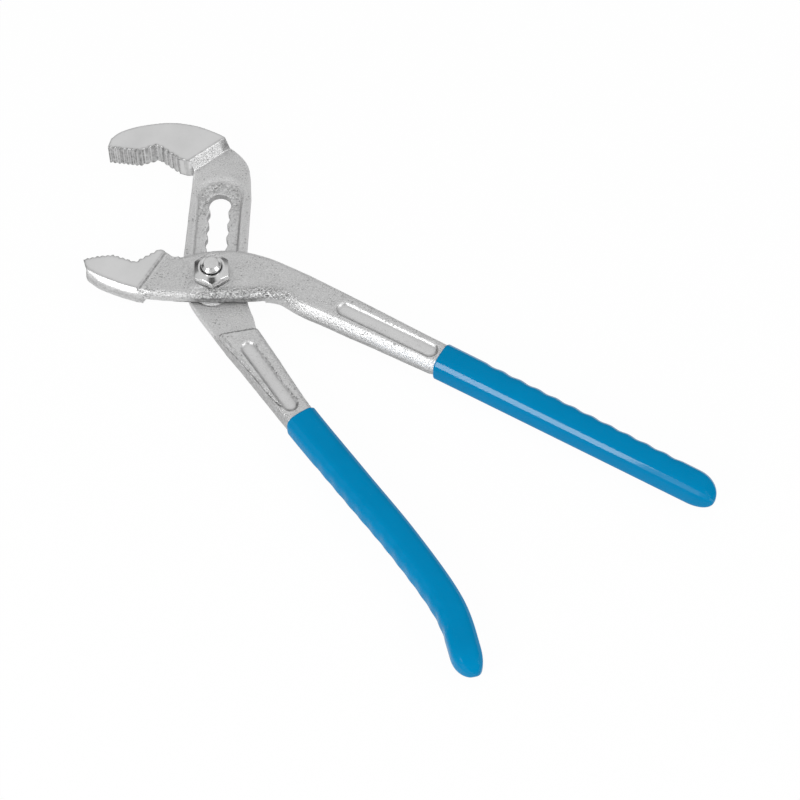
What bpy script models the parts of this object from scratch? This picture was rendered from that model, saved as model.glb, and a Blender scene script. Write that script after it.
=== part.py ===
"""Slip-joint water pump pliers, 250 mm class.

Two forged levers lap over each other and turn on a bolt that steps along a scalloped slot.
The long arm of each lever carries a dipped grip. The tool lies flat: +Z is the nut's side,
+Y runs along the slot towards the slotted lever's jaw, and the jaw tips point to -X.
The origin is on the bolt's axis, on the underside of the bolt's head.
"""
import math

import bmesh
import bpy
from mathutils import Matrix, Vector

MM = 0.001

# Fits, in millimetres like every size below
SEAT_GAP = 0.3
SLIDE_GAP = 0.3
LAP_GAP = 0.3

# Forged levers
LEVER_THICK = 10.0
EDGE_RADIUS = 2.0

# Pivot bolt, nut and washer
BOLT_DIA = 7.9
BOLT_STANDOUT = 1.3
BOLT_END_CHAMFER = 0.8
HEAD_DIA = 14.0
HEAD_THICK = 1.5
HEAD_CHAMFER = 0.5
NUT_ACROSS_FLATS = 12.7
NUT_THICK = 4.5
NUT_TURN = 5.5
NUT_FACE_DIA = 11.4
NUT_CORNER_DROP = 1.1
WASHER_SIDE_GAP = 0.6
WASHER_THICK = 0.5

# Adjusting slot and the shallow tracks round it
SLOT_PITCH = 6.0
SLOT_INTERVALS = 6
SLOT_PASSAGE = 6.9
SLOT_END_ROOM = 1.0
FRONT_TRACK_WIDTH = 16.0
FRONT_TRACK_ROOM = 3.0
BACK_TRACK_DEPTH = 0.6
BACK_TRACK_ROOM = 0.8

# Slotted lever, seen from the nut's side
NECK_WIDTH = 23.5
NECK_TOP = 52.4
NECK_LEAN = 0.7
NECK_BEND = 40.0
NECK_FOOT = 12.0
SLOTTED_JAW_BACK = [(10.3, 52.3), (7.1, 58.4), (1.5, 63.4), (-4.0, 66.5), (-11.5, 69.3),
                    (-21.1, 70.4), (-32.1, 68.5), (-39.6, 65.4), (-43.3, 61.9)]
SLOTTED_JAW_TIP = (-44.2, 57.7)
SLOTTED_FLAT_END = (-32.2, 56.4)
SLOTTED_NOTCH = (-25.0, 59.2)
SLOTTED_NOTCH_END = (-16.8, 53.3)
SLOTTED_LAND_END = (-13.8, 52.4)
SLOTTED_STEP_FOOT = [(-13.2, 49.0), (13.9, 73.4)]
SLOTTED_STEP_RUN = 2.1
SLOTTED_LEFT = [(-11.1, 2.0), (-9.2, -6.2), (-5.1, -13.8)]
SLOTTED_RIGHT = [(16.3, -16.0), (13.6, -8.9), (12.0, 2.0)]
SLOTTED_SHOULDER = [(-15.6, -31.3), (28.4, -20.8)]
SLOTTED_LINE = [(12.8, -26.8), (21.4, -38.9), (36.3, -60.1), (56.6, -86.2), (75.0, -109.8),
                (91.1, -133.9), (97.6, -152.4), (99.7, -160.0)]
SLOTTED_ARM_LENGTH = 160.3
SLOTTED_ARM_WIDE = 13.8
SLOTTED_GRIP_FROM = 41.0
SLOTTED_PANEL_FROM = 3.2
SLOTTED_PANEL_LENGTH = 34.8
SLOTTED_PANEL_WIDTH = 5.9
SLOTTED_PANEL_SIDE = -0.9

# Front lever, seen from the nut's side
FRONT_JAW_TIP = (-48.5, 5.2)
FRONT_JAW_NOSE = (-47.2, 1.3)
FRONT_JAW_CHIN = [(-45.6, 0.1), (-40.6, -2.6), (-33.6, -5.5), (-26.6, -7.6), (-22.0, -8.9)]
FRONT_HUMP = [(-12.6, 7.7), (-15.2, 7.5), (-18.8, 10.3), (-21.2, 10.4)]
FRONT_NOTCH = (-29.0, 4.8)
FRONT_FLAT_END = (-37.2, 7.6)
FRONT_FLAT_MID = (-43.0, 6.9)
FRONT_BODY_LOW = [(-24.2, -9.2), (-14.0, -9.9), (0.4, -9.8), (13.4, -9.2), (20.4, -8.6), (26.9, -9.2)]
FRONT_BODY_TOP = [(25.4, 6.8), (19.1, 9.4), (12.4, 11.2), (5.8, 11.8), (-0.6, 11.3), (-6.6, 10.0),
                  (-11.6, 8.2)]
FRONT_BODY_INSIDE = [(-17.6, 6.2), (-27.5, -6.5)]
FRONT_STEP_FOOT = [(-14.4, 16.0), (-27.8, -12.0)]
FRONT_SHOULDER = [(21.4, -16.0), (16.2, 16.0)]
FRONT_LINE = [(33.4, -4.9), (52.6, -14.8), (71.4, -24.8), (86.3, -32.7), (129.2, -56.3), (184.5, -86.9)]
FRONT_ARM_LENGTH = 172.1
FRONT_ARM_WIDE = 14.0
FRONT_GRIP_FROM = 59.8
FRONT_PANEL_FROM = 15.8
FRONT_PANEL_LENGTH = 42.0
FRONT_PANEL_WIDTH = 6.2
FRONT_PANEL_SIDE = -0.6

# Arms, tangs and grips
ARM_NARROW = 10.2
PANEL_DEPTH = 0.8
PANEL_WALL = 1.0
TANG_STEP = 0.9
TANG_END_ROOM = 9.0
GRIP_PROUD = 1.0
GRIP_RADIUS = 3.4
GRIP_TIP_LENGTH = 9.0
GRIP_TAPER = 0.7
RIPPLE_PITCH = 7.4
RIPPLE_HEIGHT = 0.5
RIPPLE_FROM = 15.6
RIPPLE_END_ROOM = 4.0

# Jaw teeth
TOOTH_DEPTH = 0.7
TOOTH_CREST_SHARE = 0.35
FINE_TOOTH = 1.7
COARSE_TOOTH = 2.35

# How finely round shapes are drawn, and how far cutters run past what they cut
CURVE_STEPS = 5
LINE_STEPS = 8
ARM_STEP = 8.0
EDGE_STEPS = 2
ROUND_SIDES = 40
ARC_STEPS = 12
SCALLOP_STEPS = 4
RIPPLE_STEPS = 4
TIP_STEPS = 6
SHARP_ANGLE = 30
WELD = 0.001
PAST = 2.0

# Heights and sizes that follow from the ones above
LAYER = (LEVER_THICK - LAP_GAP) / 2
Z_BACK = HEAD_THICK + SEAT_GAP - BACK_TRACK_DEPTH
Z_LAP_LOW = Z_BACK + LAYER
Z_LAP_HIGH = Z_LAP_LOW + LAP_GAP
Z_FRONT = Z_BACK + LEVER_THICK
Z_NUT = Z_FRONT + SEAT_GAP
Z_BOLT_END = Z_NUT + NUT_THICK + BOLT_STANDOUT
FRONT_TRACK_DEPTH = WASHER_THICK + 2 * SEAT_GAP - LAP_GAP
SLOT_RADIUS = BOLT_DIA / 2 + SLIDE_GAP
KEY_WIDTH = SLOT_PASSAGE - 2 * SLIDE_GAP
WASHER_DIA = FRONT_TRACK_WIDTH - 2 * WASHER_SIDE_GAP
TRAVEL = SLOT_PITCH * SLOT_INTERVALS
TANG_HALF = ARM_NARROW / 2 - TANG_STEP


def clear_scene():
    for obj in list(bpy.data.objects):
        bpy.data.objects.remove(obj, do_unlink=True)


def make_collection(name):
    collection = bpy.data.collections.new(name)
    bpy.context.scene.collection.children.link(collection)
    return collection


def make_material(name, colour, roughness, metallic):
    material = bpy.data.materials.new(name)
    material.use_nodes = True
    shader = material.node_tree.nodes["Principled BSDF"]
    shader.inputs["Base Color"].default_value = (*colour, 1.0)
    shader.inputs["Roughness"].default_value = roughness
    shader.inputs["Metallic"].default_value = metallic
    return material


def flow(points, steps=CURVE_STEPS):
    """A smooth run through the points, both ends included."""
    knots = [Vector(point) for point in points]
    knots = [2 * knots[0] - knots[1], *knots, 2 * knots[-1] - knots[-2]]
    run = []
    for before, start, end, after in zip(knots, knots[1:], knots[2:], knots[3:]):
        for step in range(steps):
            t = step / steps
            run.append(0.5 * (2 * start + (end - before) * t
                              + (2 * before - 5 * start + 4 * end - after) * t * t
                              + (3 * start - before - 3 * end + after) * t ** 3))
    return [*run, knots[-2]]


def arc(centre, radius, start, end, steps):
    """Points on a circle from one angle to another, in degrees."""
    angles = [math.radians(start + (end - start) * step / steps) for step in range(steps + 1)]
    return [Vector(centre) + radius * Vector((math.cos(angle), math.sin(angle))) for angle in angles]


def teeth(start, end, pitch):
    """Blunt teeth cut into the line from start to end, to the left of its direction."""
    start, end = Vector(start), Vector(end)
    count = max(1, round((end - start).length / pitch))
    step = (end - start) / count
    inward = Vector((-step.y, step.x)).normalized() * TOOTH_DEPTH
    points = []
    for index in range(count):
        root = start + step * index
        points.append(root)
        points.append(root + step * TOOTH_CREST_SHARE)
        points.append(root + step * (1 + TOOTH_CREST_SHARE) / 2 + inward)
    return [*points, end]


class Line:
    """The centre line of an arm, measured along its length to the end of its grip."""

    def __init__(self, knots, length):
        self.points = flow(knots, LINE_STEPS)
        self.reach = [0.0]
        for start, end in zip(self.points, self.points[1:]):
            self.reach.append(self.reach[-1] + (end - start).length)
        self.length = length

    def at(self, distance):
        """The point and the unit direction at a distance, also past either end."""
        index = 0
        while index < len(self.reach) - 2 and self.reach[index + 1] < distance:
            index += 1
        start, end = self.points[index], self.points[index + 1]
        direction = (end - start).normalized()
        return start + direction * (distance - self.reach[index]), direction

    def side(self, distance, offset):
        """A point to the left of the line, or to its right for a negative offset."""
        point, direction = self.at(distance)
        return point + Vector((-direction.y, direction.x)) * offset


def stations(start, end, step):
    """Distances from start to end, both included, about a step apart."""
    count = max(1, round((end - start) / step))
    return [start + (end - start) * index / count for index in range(count + 1)]


def place(mesh, name, collection):
    obj = bpy.data.objects.new(name, mesh)
    collection.objects.link(obj)
    return obj


def weld(mesh):
    shell = bmesh.new()
    shell.from_mesh(mesh)
    bmesh.ops.remove_doubles(shell, verts=shell.verts, dist=WELD * MM)
    bmesh.ops.recalc_face_normals(shell, faces=shell.faces)
    shell.to_mesh(mesh)
    shell.free()


def plate(name, points, low, high, collection, edge_radius=0.0):
    """A flat outline with a thickness, its top and bottom edges rounded to edge_radius."""
    curve = bpy.data.curves.new(name, "CURVE")
    curve.dimensions = "2D"
    curve.fill_mode = "BOTH"
    curve.extrude = ((high - low) / 2 - edge_radius) * MM
    curve.bevel_depth = edge_radius * MM
    curve.bevel_resolution = EDGE_STEPS
    curve.offset = -edge_radius * MM
    spline = curve.splines.new("POLY")
    spline.points.add(len(points) - 1)
    for knot, point in zip(spline.points, points):
        knot.co = (point[0] * MM, point[1] * MM, 0.0, 1.0)
    spline.use_cyclic_u = True
    shape = bpy.data.objects.new(name + "_outline", curve)
    shape.location.z = (low + high) / 2 * MM
    collection.objects.link(shape)
    bpy.context.view_layer.update()
    evaluated = shape.evaluated_get(bpy.context.evaluated_depsgraph_get())
    mesh = bpy.data.meshes.new_from_object(evaluated)
    matrix = shape.matrix_world.copy()
    bpy.data.objects.remove(shape, do_unlink=True)
    bpy.data.curves.remove(curve)
    weld(mesh)
    obj = place(mesh, name, collection)
    obj.matrix_world = matrix
    return obj


def drafted(name, low_points, low, high_points, high, collection):
    """A block whose outline changes from its low face to its high face."""
    shell = bmesh.new()
    lower = [shell.verts.new((x * MM, y * MM, low * MM)) for x, y in low_points]
    upper = [shell.verts.new((x * MM, y * MM, high * MM)) for x, y in high_points]
    shell.faces.new(lower)
    shell.faces.new(upper)
    for index in range(len(lower)):
        shell.faces.new((lower[index - 1], lower[index], upper[index], upper[index - 1]))
    bmesh.ops.recalc_face_normals(shell, faces=shell.faces)
    mesh = bpy.data.meshes.new(name)
    shell.to_mesh(mesh)
    shell.free()
    return place(mesh, name, collection)


def turned(name, profile, collection):
    """A profile of radius and height pairs, down its outer side, turned about Z."""
    shell = bmesh.new()
    corners = [shell.verts.new((radius * MM, 0.0, height * MM)) for radius, height in profile]
    for start, end in zip(corners, corners[1:]):
        shell.edges.new((start, end))
    if profile[0][0] > 0:
        shell.edges.new((corners[-1], corners[0]))
    mesh = bpy.data.meshes.new(name)
    shell.to_mesh(mesh)
    shell.free()
    obj = place(mesh, name, collection)
    screw = obj.modifiers.new("turn", "SCREW")
    screw.steps = ROUND_SIDES
    screw.render_steps = ROUND_SIDES
    screw.use_merge_vertices = True
    screw.merge_threshold = WELD * MM
    return obj


def block(name, low, high, collection):
    """A plain box between two corners."""
    bpy.ops.mesh.primitive_cube_add(size=1.0)
    cube = bpy.context.object
    cube.name = name
    for owner in list(cube.users_collection):
        owner.objects.unlink(cube)
    collection.objects.link(cube)
    low, high = Vector(low) * MM, Vector(high) * MM
    cube.data.transform(Matrix.Diagonal((*(high - low), 1.0)))
    cube.location = (low + high) / 2
    return cube


def combine(obj, tool, operation):
    """Cuts, joins or intersects obj with a hidden tool object."""
    tool.hide_render = True
    tool.display_type = "WIRE"
    boolean = obj.modifiers.new(tool.name, "BOOLEAN")
    boolean.operation = operation
    boolean.object = tool


def stadium(low, high, width):
    """A straight outline along Y with round ends centred at low and high."""
    return (arc((0.0, high), width / 2, 0, 180, ARC_STEPS)
            + arc((0.0, low), width / 2, 180, 360, ARC_STEPS))


def slot_outline():
    """The scalloped slot: a round pocket for each place of the bolt, joined by a narrower passage."""
    spread = math.degrees(math.acos(SLOT_PASSAGE / 2 / SLOT_RADIUS))
    right = []
    for index in range(SLOT_INTERVALS + 1):
        first = 0 if index == 0 else -spread
        last = 0 if index == SLOT_INTERVALS else spread
        right += arc((0.0, index * SLOT_PITCH), SLOT_RADIUS, first, last, SCALLOP_STEPS)
    left = [Vector((-point.x, point.y)) for point in reversed(right)]
    top = arc((0.0, TRAVEL + SLOT_END_ROOM), SLOT_RADIUS, 0, 180, ARC_STEPS)
    bottom = arc((0.0, -SLOT_END_ROOM), SLOT_RADIUS, 180, 360, ARC_STEPS)
    return right + top + left + bottom


def key_outline(clearance):
    """The bolt's shank with its two flats, grown by a clearance."""
    radius = BOLT_DIA / 2 + clearance
    spread = math.degrees(math.asin((KEY_WIDTH / 2 + clearance) / radius))
    return (arc((0.0, 0.0), radius, 90 - spread, 90 + spread, ARC_STEPS)
            + arc((0.0, 0.0), radius, 270 - spread, 270 + spread, ARC_STEPS))


def panel_outline(line, start, length, width, side):
    """A long panel with round ends along an arm, its middle to one side of the arm's centre line."""
    _, along = line.at(start + length / 2)
    turn = math.degrees(math.atan2(along.y, along.x))
    low = line.side(start + width / 2, side)
    high = line.side(start + length - width / 2, side)
    return (arc(low, width / 2, turn + 90, turn + 270, ARC_STEPS)
            + arc(high, width / 2, turn - 90, turn + 90, ARC_STEPS))


def across(line, start, end, half):
    """A straight-edged outline across a line, from one distance to another."""
    return [line.side(start, half), line.side(start, -half), line.side(end, -half), line.side(end, half)]


def arm_sides(line, wide, grip_from):
    """The left and right edges of an arm that tapers from its root to its grip."""
    distances = stations(0.0, grip_from + PAST, ARM_STEP)
    halves = [(wide + (ARM_NARROW - wide) * min(1.0, distance / grip_from)) / 2 for distance in distances]
    left = [line.side(distance, half) for distance, half in zip(distances, halves)]
    right = [line.side(distance, -half) for distance, half in zip(distances, halves)]
    return left, right


def tang_outline(line, start, end, half):
    """An even-width outline along a line, from one distance to another."""
    distances = stations(start, end, ARM_STEP)
    left = [line.side(distance, half) for distance in distances]
    right = [line.side(distance, -half) for distance in distances]
    return right + left[::-1]


def add_tang(lever, line, grip_from, tools):
    """Squares off the arm at the grip's mouth and adds the slimmer tang beyond it."""
    name = lever.name
    mouth = across(line, grip_from - SEAT_GAP, grip_from + 2 * PAST, ARM_NARROW)
    combine(lever, plate(name + "_mouth", mouth, Z_BACK - PAST, Z_FRONT + PAST, tools), "DIFFERENCE")
    outline = tang_outline(line, grip_from - 2 * PAST, line.length - TANG_END_ROOM, TANG_HALF)
    tang = plate(name + "_tang", outline, Z_BACK + TANG_STEP, Z_FRONT - TANG_STEP, tools, EDGE_RADIUS)
    combine(lever, tang, "UNION")


def slotted_jaw(crown, throat):
    """The slotted lever's jaw: fine teeth, a toothed pipe notch, a smooth land and a round back."""
    toothed = (teeth(SLOTTED_JAW_TIP, SLOTTED_FLAT_END, FINE_TOOTH)
               + teeth(SLOTTED_FLAT_END, SLOTTED_NOTCH, COARSE_TOOTH)[1:]
               + teeth(SLOTTED_NOTCH, SLOTTED_NOTCH_END, COARSE_TOOTH)[1:])
    land = [Vector(SLOTTED_LAND_END), throat, throat - Vector((0.0, PAST))]
    return toothed + land + crown[CURVE_STEPS:]


def slotted_body(line, crown, throat):
    """The slotted lever's neck and arm, reaching up inside its jaw."""
    inner, outer = arm_sides(line, SLOTTED_ARM_WIDE, SLOTTED_GRIP_FROM)
    left = flow([(-NECK_WIDTH / 2, NECK_FOOT), *SLOTTED_LEFT, *outer[:2]])[:-CURVE_STEPS]
    right = flow([*inner[1::-1], *SLOTTED_RIGHT, (NECK_WIDTH / 2, NECK_FOOT)])[CURVE_STEPS:]
    inside_jaw = Vector((0.0, NECK_TOP + 3 * PAST))
    return [throat, *left, *outer[1:], *inner[:0:-1], *right, *crown[:CURVE_STEPS + 1], inside_jaw]


def slotted_lap(tools):
    """What is cut away where the front lever lies on the neck, with a leaning step below the jaw."""
    foot = [Vector(point) for point in SLOTTED_STEP_FOOT]
    shoulder = [Vector(point) for point in reversed(SLOTTED_SHOULDER)]
    along = (foot[1] - foot[0]).normalized()
    rise = (Z_FRONT + PAST - Z_LAP_LOW) / (Z_FRONT - Z_LAP_LOW)
    lean = Vector((-along.y, along.x)) * SLOTTED_STEP_RUN * rise
    top = [point + lean for point in foot] + shoulder
    return drafted("slotted_lap", foot + shoulder, Z_LAP_LOW, top, Z_FRONT + PAST, tools)


def cut_slot(lever, tools):
    """Cuts the scalloped slot and the two shallow tracks round it."""
    slot = plate("slot", slot_outline(), Z_BACK - PAST, Z_LAP_LOW + PAST, tools)
    combine(lever, slot, "DIFFERENCE")
    outline = stadium(-FRONT_TRACK_ROOM, TRAVEL + FRONT_TRACK_ROOM, FRONT_TRACK_WIDTH)
    track = plate("front_track", outline, Z_LAP_LOW - FRONT_TRACK_DEPTH, Z_LAP_LOW + PAST, tools)
    combine(lever, track, "DIFFERENCE")
    outline = stadium(0.0, TRAVEL, HEAD_DIA + 2 * BACK_TRACK_ROOM)
    track = plate("back_track", outline, Z_BACK - PAST, Z_BACK + BACK_TRACK_DEPTH, tools)
    combine(lever, track, "DIFFERENCE")


def cut_panel(lever, line, start, length, width, side, tools):
    """Cuts a shallow panel with leaning walls into the front of an arm."""
    spread = PANEL_WALL * PAST / PANEL_DEPTH
    floor, top = [panel_outline(line, start - grow, length + 2 * grow, width + 2 * grow, side)
                  for grow in (-PANEL_WALL, spread)]
    cutter = drafted(lever.name + "_panel", floor, Z_FRONT - PANEL_DEPTH, top, Z_FRONT + PAST, tools)
    combine(lever, cutter, "DIFFERENCE")


def make_slotted_lever(parts, tools, line):
    crown = flow([(NECK_WIDTH / 2, NECK_BEND), *SLOTTED_JAW_BACK])
    throat = Vector((NECK_LEAN - NECK_WIDTH / 2, NECK_TOP))
    lever = plate("slotted_lever", slotted_jaw(crown, throat), Z_BACK, Z_FRONT, parts)
    outline = slotted_body(line, crown, throat)
    combine(lever, plate("slotted_body", outline, Z_BACK, Z_FRONT, tools, EDGE_RADIUS), "UNION")
    combine(lever, slotted_lap(tools), "DIFFERENCE")
    cut_slot(lever, tools)
    cut_panel(lever, line, SLOTTED_PANEL_FROM, SLOTTED_PANEL_LENGTH, SLOTTED_PANEL_WIDTH,
              SLOTTED_PANEL_SIDE, tools)
    add_tang(lever, line, SLOTTED_GRIP_FROM, tools)
    return lever


def front_jaw():
    """The front lever's jaw: round chin, smooth hump, toothed notch and a finely toothed bow."""
    toothed = (teeth(FRONT_HUMP[-1], FRONT_NOTCH, COARSE_TOOTH)
               + teeth(FRONT_NOTCH, FRONT_FLAT_END, COARSE_TOOTH)[1:]
               + teeth(FRONT_FLAT_END, FRONT_FLAT_MID, FINE_TOOTH)[1:]
               + teeth(FRONT_FLAT_MID, FRONT_JAW_TIP, FINE_TOOTH)[1:])
    return [Vector(FRONT_JAW_NOSE), *flow(FRONT_JAW_CHIN), *flow(FRONT_HUMP), *toothed[1:]]


def front_body(line):
    """The front lever's round middle and arm, reaching up inside its jaw."""
    upper, lower = arm_sides(line, FRONT_ARM_WIDE, FRONT_GRIP_FROM)
    low = flow([*FRONT_BODY_LOW, *lower[:2]])[:-CURVE_STEPS]
    top = flow([*upper[1::-1], *FRONT_BODY_TOP])[CURVE_STEPS:]
    inside_jaw = [Vector(point) for point in FRONT_BODY_INSIDE]
    return [*low, *lower[1:], *upper[:0:-1], *top, *inside_jaw]


def make_front_lever(parts, tools, line):
    lever = plate("front_lever", front_jaw(), Z_BACK, Z_FRONT, parts)
    combine(lever, plate("front_body", front_body(line), Z_BACK, Z_FRONT, tools, EDGE_RADIUS), "UNION")
    lap = FRONT_STEP_FOOT + FRONT_SHOULDER
    combine(lever, plate("front_lap", lap, Z_BACK - PAST, Z_LAP_HIGH, tools), "DIFFERENCE")
    key_hole = plate("key_hole", key_outline(SLIDE_GAP), Z_BACK, Z_FRONT + PAST, tools)
    combine(lever, key_hole, "DIFFERENCE")
    cut_panel(lever, line, FRONT_PANEL_FROM, FRONT_PANEL_LENGTH, FRONT_PANEL_WIDTH,
              FRONT_PANEL_SIDE, tools)
    add_tang(lever, line, FRONT_GRIP_FROM, tools)
    return lever


def grip_outline(line, grip_from, rippled):
    """The outline of a grip, with finger ripples on its left (1) or its right (-1) side."""
    tip_from = line.length - GRIP_TIP_LENGTH
    first = grip_from + RIPPLE_FROM
    count = int((tip_from - RIPPLE_END_ROOM - first) / RIPPLE_PITCH)
    last = first + count * RIPPLE_PITCH

    def half(distance):
        return ARM_NARROW / 2 + GRIP_PROUD - GRIP_TAPER * (distance - grip_from) / (tip_from - grip_from)

    mouth = (grip_from - PAST, grip_from + PAST)
    edge = [line.side(distance, rippled * half(distance)) for distance in mouth]
    for distance in stations(first, last, RIPPLE_PITCH / RIPPLE_STEPS):
        dip = RIPPLE_HEIGHT * (1 - math.cos(2 * math.pi * (distance - first) / RIPPLE_PITCH)) / 2
        edge.append(line.side(distance, rippled * (half(distance) - dip)))
    for step in range(2 * TIP_STEPS + 1):
        turn = math.pi / 2 * step / TIP_STEPS
        width = half(tip_from) * math.cos(turn)
        edge.append(line.side(tip_from + GRIP_TIP_LENGTH * math.sin(turn), rippled * width))
    plain = stations(grip_from - PAST, tip_from - PAST, ARM_STEP)
    return edge + [line.side(distance, -rippled * half(distance)) for distance in reversed(plain)]


def make_grip(name, line, grip_from, rippled, parts, tools):
    """A dipped sleeve over a tang, open at its mouth."""
    grip = plate(name, grip_outline(line, grip_from, rippled), Z_BACK - GRIP_PROUD, Z_FRONT + GRIP_PROUD,
                 parts, GRIP_RADIUS)
    mouth = across(line, grip_from - 2 * PAST, grip_from, ARM_NARROW)
    combine(grip, plate(name + "_mouth", mouth, Z_BACK - PAST, Z_FRONT + PAST, tools), "DIFFERENCE")
    inner_end = line.length - TANG_END_ROOM + SEAT_GAP
    outline = tang_outline(line, grip_from - 2 * PAST, inner_end, TANG_HALF + SEAT_GAP)
    step = TANG_STEP - SEAT_GAP
    cavity = plate(name + "_cavity", outline, Z_BACK + step, Z_FRONT - step, tools, EDGE_RADIUS)
    combine(grip, cavity, "DIFFERENCE")
    return grip


def make_pivot_bolt(parts, tools):
    """A flat round head, a shank with two flats and a chamfered end."""
    radius, head = BOLT_DIA / 2, HEAD_DIA / 2
    bolt = turned("pivot_bolt", [(0.0, Z_BOLT_END), (radius - BOLT_END_CHAMFER, Z_BOLT_END),
                                 (radius, Z_BOLT_END - BOLT_END_CHAMFER), (radius, HEAD_THICK),
                                 (head, HEAD_THICK), (head, HEAD_CHAMFER), (head - HEAD_CHAMFER, 0.0),
                                 (0.0, 0.0)], parts)
    for name, side in (("left_flat", -1), ("right_flat", 1)):
        edges = sorted((side * KEY_WIDTH / 2, side * HEAD_DIA))
        flat = block(name, (edges[0], -HEAD_DIA, HEAD_THICK), (edges[1], HEAD_DIA, Z_FRONT), tools)
        combine(bolt, flat, "DIFFERENCE")
    return bolt


def make_hex_nut(parts, tools):
    """A hexagon with its corners turned to a cone at the top, and a clearance bore."""
    corner = NUT_ACROSS_FLATS / 2 / math.cos(math.pi / 6)
    outline = arc((0.0, 0.0), corner, NUT_TURN - 90, NUT_TURN + 210, 5)
    nut = plate("hex_nut", outline, Z_NUT, Z_NUT + NUT_THICK, parts)
    top, wide = Z_NUT + NUT_THICK, corner + PAST
    slope = NUT_CORNER_DROP / (corner - NUT_FACE_DIA / 2)
    crown = turned("nut_crown", [(0.0, top + PAST), (NUT_FACE_DIA / 2, top + PAST), (NUT_FACE_DIA / 2, top),
                                 (wide, top - slope * (wide - NUT_FACE_DIA / 2)), (wide, Z_NUT - PAST),
                                 (0.0, Z_NUT - PAST)], tools)
    combine(nut, crown, "INTERSECT")
    bore = BOLT_DIA / 2 + SEAT_GAP
    combine(nut, turned("nut_bore", [(0.0, top + PAST), (bore, top + PAST), (bore, Z_NUT - PAST),
                                     (0.0, Z_NUT - PAST)], tools), "DIFFERENCE")
    return nut


def make_washer(parts):
    """The thin friction washer that rides in the front track, between the levers."""
    outer, inner = WASHER_DIA / 2, BOLT_DIA / 2 + SEAT_GAP
    low = Z_LAP_LOW - FRONT_TRACK_DEPTH + SEAT_GAP
    high = low + WASHER_THICK
    return turned("friction_washer", [(inner, high), (outer, high), (outer, low), (inner, low)], parts)


def finish(obj, material, parent):
    """Gives a piece its material, its smooth shading and its place in the assembly."""
    obj.data.materials.clear()
    obj.data.materials.append(material)
    obj.data.shade_smooth()
    obj.data.set_sharp_from_angle(angle=math.radians(SHARP_ANGLE))
    obj.parent = parent


def main():
    clear_scene()
    parts = make_collection("water_pump_pliers")
    tools = make_collection("cutters")
    slide = bpy.data.objects.new("slot_slide", None)
    pivot = bpy.data.objects.new("pivot_axis", None)
    pivot.parent = slide
    for axis in (slide, pivot):
        parts.objects.link(axis)

    slotted_line = Line(SLOTTED_LINE, SLOTTED_ARM_LENGTH)
    front_line = Line(FRONT_LINE, FRONT_ARM_LENGTH)
    forged = make_material("forged_plated_steel", (0.52, 0.52, 0.52), 0.42, 1.0)
    bright = make_material("bright_plated_steel", (0.62, 0.62, 0.62), 0.18, 1.0)
    zinc = make_material("zinc_washer", (0.55, 0.56, 0.57), 0.35, 1.0)
    vinyl = make_material("blue_dipped_vinyl", (0.0, 0.19, 0.42), 0.28, 0.0)

    finish(make_slotted_lever(parts, tools, slotted_line), forged, None)
    finish(make_front_lever(parts, tools, front_line), forged, pivot)
    finish(make_grip("lower_grip", slotted_line, SLOTTED_GRIP_FROM, -1, parts, tools), vinyl, None)
    finish(make_grip("upper_grip", front_line, FRONT_GRIP_FROM, 1, parts, tools), vinyl, pivot)
    finish(make_pivot_bolt(parts, tools), bright, pivot)
    finish(make_hex_nut(parts, tools), bright, pivot)
    finish(make_washer(parts), zinc, slide)


main()
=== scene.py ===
"""Looks of slip-joint water pump pliers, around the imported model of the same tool.

Both forged levers are dense copies of their solids with rolled edges, forging marks and ground jaws.
The grips, the nut and the bolt are modelled afresh where their solids are. Shape sizes are in millimetres.
"""
import math

import bmesh
import bpy
import numpy as np
from mathutils import Matrix, Vector


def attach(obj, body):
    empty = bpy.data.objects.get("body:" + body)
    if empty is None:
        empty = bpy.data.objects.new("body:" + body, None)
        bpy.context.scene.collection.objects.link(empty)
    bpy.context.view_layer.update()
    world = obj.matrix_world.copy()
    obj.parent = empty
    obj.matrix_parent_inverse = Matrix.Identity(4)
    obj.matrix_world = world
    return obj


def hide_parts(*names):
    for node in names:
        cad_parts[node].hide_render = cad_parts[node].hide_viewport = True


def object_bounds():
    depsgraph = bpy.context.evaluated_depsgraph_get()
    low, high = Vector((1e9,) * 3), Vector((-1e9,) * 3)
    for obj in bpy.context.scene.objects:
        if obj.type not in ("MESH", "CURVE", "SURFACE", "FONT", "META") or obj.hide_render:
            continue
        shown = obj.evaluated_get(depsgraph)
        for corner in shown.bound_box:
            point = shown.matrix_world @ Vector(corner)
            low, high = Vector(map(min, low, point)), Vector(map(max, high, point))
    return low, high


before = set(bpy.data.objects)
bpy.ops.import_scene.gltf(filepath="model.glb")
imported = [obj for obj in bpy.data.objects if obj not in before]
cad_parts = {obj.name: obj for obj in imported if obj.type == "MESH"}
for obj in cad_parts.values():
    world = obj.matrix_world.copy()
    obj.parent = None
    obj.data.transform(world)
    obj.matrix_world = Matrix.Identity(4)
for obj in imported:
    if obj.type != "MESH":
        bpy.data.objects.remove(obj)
cad_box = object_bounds()

MM = 0.001

# Photograph's view: 800 pixels across, aimed so that the pivot lands on its pixel
IMAGE_SIZE = 800
FOCAL_PIXELS = 2700
SENSOR_WIDTH = 36.0
VIEW_ELEVATION = math.radians(57.5)
VIEW_AZIMUTH = math.radians(2.0)
VIEW_DEPTH = 1000.0
PIVOT_PIXEL = (212.0, 273.8)

# Light of the room: upward slopes where it starts and is full, with its two levels
ROOM_LEVEL = (0.05, 0.5, 0.15, 0.80)

# Dim spots of the room, in front and to the left: direction, cosines where each starts and is full,
# and the light that is left over
DIM_SPOTS = [((0.02, -0.54, 0.84), 0.93, 0.99, 0.10), ((-0.86, 0.46, 0.20), 0.86, 0.95, 0.30)]

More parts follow.
